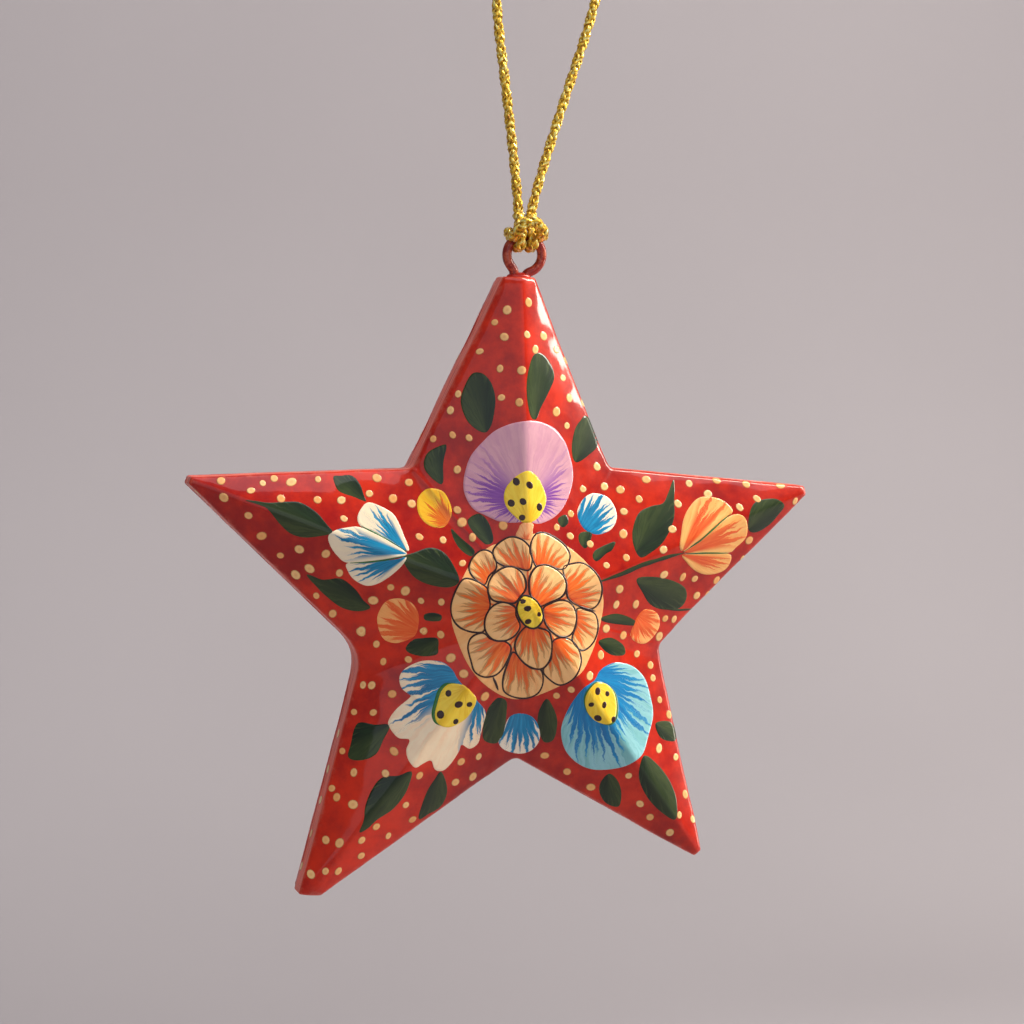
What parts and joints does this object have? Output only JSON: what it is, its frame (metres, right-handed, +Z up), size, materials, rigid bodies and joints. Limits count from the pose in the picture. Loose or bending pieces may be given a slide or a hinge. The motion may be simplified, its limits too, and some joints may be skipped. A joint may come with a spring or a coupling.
{
  "type": "painted tin star ornament",
  "caption": "Hanging folk ornament: a ridged tin star in two soldered halves, painted with flowers, with a wire eye and a gold cord loop.",
  "frame": {"origin": "inside of the cord loop's top, where a hook or twig carries it", "axes": "+Z up, the painted front faces -Y, +X to the right seen from the front"},
  "size_m": [0.099, 0.0278, 0.1583],
  "materials": {
    "red_lacquered_tin": "gloss, brushed by hand",
    "painted_wire": "gloss",
    "bare_solder": "dull",
    "gold_cord": "metallic braid"
  },
  "bodies": {
    "loop": {"hanging_loop": "gold_cord", "loop_knot": "gold_cord"},
    "hitch": {"cord_hitch": "gold_cord"},
    "star": {"front_shell": "red_lacquered_tin", "back_shell": "red_lacquered_tin", "seam_solder": "red_lacquered_tin", "hanger_eye": "painted_wire", "eye_solder": "bare_solder"}
  },
  "joints": [
    {"name": "cord_twist", "type": "hinge", "parent": "loop", "child": "hitch", "pos_m": [-0.0047, 0, -0.0504], "axis": [0, 0, 1], "range_deg": [-180, 180]},
    {"name": "star_swing", "type": "hinge", "parent": "hitch", "child": "star", "pos_m": [-0.0047, 0, -0.0538], "axis": [1, 0, 0], "range_deg": [-40, 40]}
  ]
}
